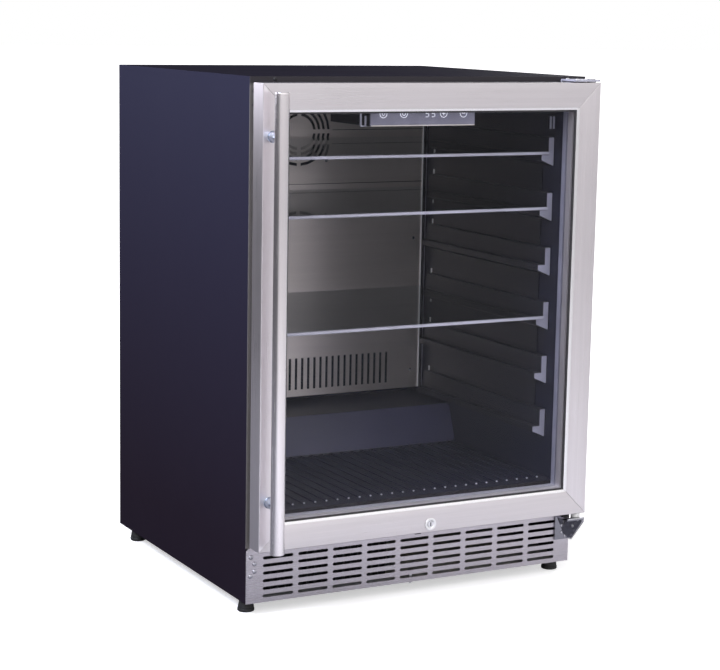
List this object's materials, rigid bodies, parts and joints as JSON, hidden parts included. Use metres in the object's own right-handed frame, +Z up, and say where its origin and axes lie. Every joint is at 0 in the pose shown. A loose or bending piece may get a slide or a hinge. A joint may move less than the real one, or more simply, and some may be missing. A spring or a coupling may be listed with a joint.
{
  "type": "undercounter refrigerator",
  "caption": "Undercounter drinks refrigerator: insulated case, hinged double-glazed door with long handle and lock, glass shelves, slotted kick plate.",
  "frame": {"origin": "on the floor, under the centre of the overall box (handle front to case back)", "axes": "+X to the right seen from the front, +Y from the door to the back, +Z up"},
  "size_m": [0.595, 0.616, 0.826],
  "materials": {
    "case_navy": "satin",
    "frame_dark": "satin",
    "zinc_sheet": "satin",
    "foam": "matte",
    "liner": "satin",
    "door_steel": "satin",
    "kick_steel": "satin",
    "duct_steel": "satin",
    "chrome": "polished",
    "glass": "gloss",
    "spacer": "satin",
    "black_plastic": "matte",
    "rubber": "matte",
    "trim": "satin",
    "fascia": "satin",
    "circuit": "satin",
    "lamp": "satin",
    "nylon": "satin",
    "fins": "satin",
    "motor": "satin"
  },
  "bodies": {
    "cabinet": {"back_panel": "zinc_sheet", "base_pan": "zinc_sheet", "bottom_hinge_bracket": "chrome", "bottom_hinge_pin": "chrome", "compressor": "motor", "condenser_coil": "fins", "condenser_fan_motor": "zinc_sheet", "condenser_fan_shroud": "black_plastic", "control_board": "circuit", "control_box": "black_plastic", "control_fascia": "fascia", "door_switch_body": "black_plastic", "drip_tray": "black_plastic", "duct_panel": "duct_steel", "evaporator_coil": "fins", "evaporator_fan_motor": "zinc_sheet", "front_frame": "frame_dark", "inner_liner": "liner", "insulation_foam": "foam", "kick_plate": "kick_steel", "light_strip": "lamp", "power_inlet": "black_plastic", "rear_grille": "zinc_sheet", "shelf_rack_left": "liner", "shelf_rack_right": "liner", "side_panel_left": "case_navy", "side_panel_right": "case_navy", "temperature_probe": "trim", "top_hinge_bracket": "chrome", "top_hinge_pin": "chrome", "top_panel": "case_navy"},
    "door": {"door_stile_left": "door_steel", "door_stile_right": "door_steel", "door_rail_top": "door_steel", "door_rail_bottom": "door_steel", "door_bush_top": "nylon", "door_bush_bottom": "nylon", "door_glass_outer": "glass", "door_glass_inner": "glass", "glass_spacer": "spacer", "door_inner_frame": "black_plastic", "door_gasket": "rubber", "handle_bar": "door_steel", "handle_post_top": "door_steel", "handle_post_bottom": "door_steel", "lock_housing": "chrome"},
    "lock": {"lock_plug": "chrome"},
    "evaporator_rotor": {"evaporator_fan": "black_plastic"},
    "condenser_rotor": {"condenser_fan": "black_plastic"},
    "switch_plunger": {"door_switch_plunger": "nylon"},
    "shelf_1": {"shelf_glass_1": "glass", "shelf_trim_1": "trim"},
    "shelf_2": {"shelf_glass_2": "glass", "shelf_trim_2": "trim"},
    "shelf_3": {"shelf_glass_3": "glass", "shelf_trim_3": "trim"},
    "leg_front_left": {"foot_front_left": "black_plastic"},
    "leg_front_right": {"foot_front_right": "black_plastic"},
    "leg_rear_left": {"foot_rear_left": "black_plastic"},
    "leg_rear_right": {"foot_rear_right": "black_plastic"}
  },
  "joints": [
    {"name": "door_swing", "type": "hinge", "parent": "cabinet", "child": "door", "pos_m": [0.2865, -0.255, 0.465], "axis": [0, 0, 1], "range_deg": [0, 110]},
    {"name": "lock_turn", "type": "hinge", "parent": "door", "child": "lock", "pos_m": [0.002, -0.267, 0.126], "axis": [0, 1, 0], "range_deg": [0, 90]},
    {"name": "evaporator_fan_spin", "type": "hinge", "parent": "cabinet", "child": "evaporator_rotor", "pos_m": [0, 0.23, 0.714], "axis": [0, 1, 0], "continuous": true},
    {"name": "condenser_fan_spin", "type": "hinge", "parent": "cabinet", "child": "condenser_rotor", "pos_m": [-0.15, -0.137, 0.071], "axis": [0, 1, 0], "continuous": true},
    {"name": "door_switch_press", "type": "slide", "parent": "cabinet", "child": "switch_plunger", "axis": [0, 1, 0], "range_m": [0, 0.004], "stiffness_N_per_m": 150, "springref_m": -0.002},
    {"name": "shelf_1_slide", "type": "slide", "parent": "cabinet", "child": "shelf_1", "axis": [0, -1, 0], "range_m": [0, 0.028]},
    {"name": "shelf_2_slide", "type": "slide", "parent": "cabinet", "child": "shelf_2", "axis": [0, -1, 0], "range_m": [0, 0.028]},
    {"name": "shelf_3_slide", "type": "slide", "parent": "cabinet", "child": "shelf_3", "axis": [0, -1, 0], "range_m": [0, 0.028]},
    {"name": "foot_turn_front_left", "type": "hinge", "parent": "cabinet", "child": "leg_front_left", "pos_m": [-0.282, -0.19, 0.02], "axis": [0, 0, 1], "continuous": true},
    {"name": "foot_turn_front_right", "type": "hinge", "parent": "cabinet", "child": "leg_front_right", "pos_m": [0.282, -0.19, 0.02], "axis": [0, 0, 1], "continuous": true},
    {"name": "foot_turn_rear_left", "type": "hinge", "parent": "cabinet", "child": "leg_rear_left", "pos_m": [-0.282, 0.26, 0.02], "axis": [0, 0, 1], "continuous": true},
    {"name": "foot_turn_rear_right", "type": "hinge", "parent": "cabinet", "child": "leg_rear_right", "pos_m": [0.282, 0.26, 0.02], "axis": [0, 0, 1], "continuous": true}
  ]
}
